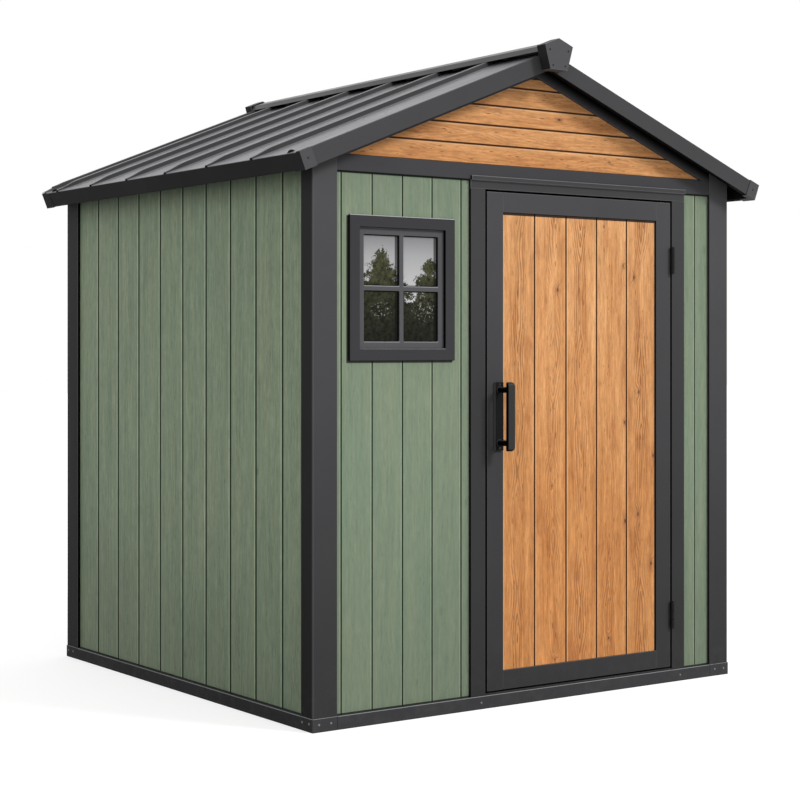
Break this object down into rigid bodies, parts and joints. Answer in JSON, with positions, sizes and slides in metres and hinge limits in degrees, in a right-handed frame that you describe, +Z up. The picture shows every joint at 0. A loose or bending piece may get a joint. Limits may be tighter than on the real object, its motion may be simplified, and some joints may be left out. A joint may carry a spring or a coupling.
{
  "type": "metal garden shed",
  "caption": "Free-standing metal garden shed with grooved wall panels, a ribbed gable roof, a barred window and a hinged door with timber-look boards.",
  "frame": {"origin": "on the ground at the centre of the base frame, on the underside of the middle floor bearer", "axes": "+X to the right seen from the door side, +Y to the back, +Z up; the door faces -Y"},
  "size_m": [2.2086, 2.155, 2.4627],
  "materials": {
    "wall_panel": "satin, embossed grain",
    "timber_look": "satin, printed and embossed timber grain",
    "roof_sheet": "satin",
    "dark_frame": "satin powder coat",
    "black_steel": "satin",
    "floor": "matt",
    "glass": "clear"
  },
  "bodies": {
    "shed": {"base_rail_front": "dark_frame", "base_rail_back": "dark_frame", "base_rail_left": "dark_frame", "base_rail_right": "dark_frame", "base_corners": "dark_frame", "floor_bearers": "floor", "floor_panel": "floor", "post_front_left": "dark_frame", "post_front_right": "dark_frame", "post_back_left": "dark_frame", "post_back_right": "dark_frame", "wall_left": "wall_panel", "wall_right": "wall_panel", "wall_back": "wall_panel", "wall_front_left": "wall_panel", "wall_front_right": "wall_panel", "header_front": "dark_frame", "header_back": "dark_frame", "side_plates": "dark_frame", "gable_front": "timber_look", "gable_back": "timber_look", "gable_trim_front": "dark_frame", "gable_trim_back": "dark_frame", "door_jambs": "dark_frame", "door_head": "dark_frame", "door_sill": "dark_frame", "window_casing": "dark_frame", "window_sash": "dark_frame", "window_glass": "glass", "roof_left": "roof_sheet", "roof_right": "roof_sheet", "ridge_beam": "dark_frame", "ridge_cap": "roof_sheet", "ridge_ends": "dark_frame", "barge_front_left": "dark_frame", "barge_front_right": "dark_frame", "barge_back_left": "dark_frame", "barge_back_right": "dark_frame", "eave_fascias": "dark_frame", "eave_corner_caps": "dark_frame", "hinge_frame_side": "black_steel"},
    "door": {"hinge_door_side": "black_steel", "door_stiles": "dark_frame", "door_rails": "dark_frame", "door_boards": "timber_look", "door_handle": "black_steel"}
  },
  "joints": [
    {"name": "door_hinge", "type": "hinge", "parent": "shed", "child": "door", "pos_m": [0.6865, -0.983, 0.967], "axis": [0, 0, 1], "range_deg": [0, 120]}
  ]
}
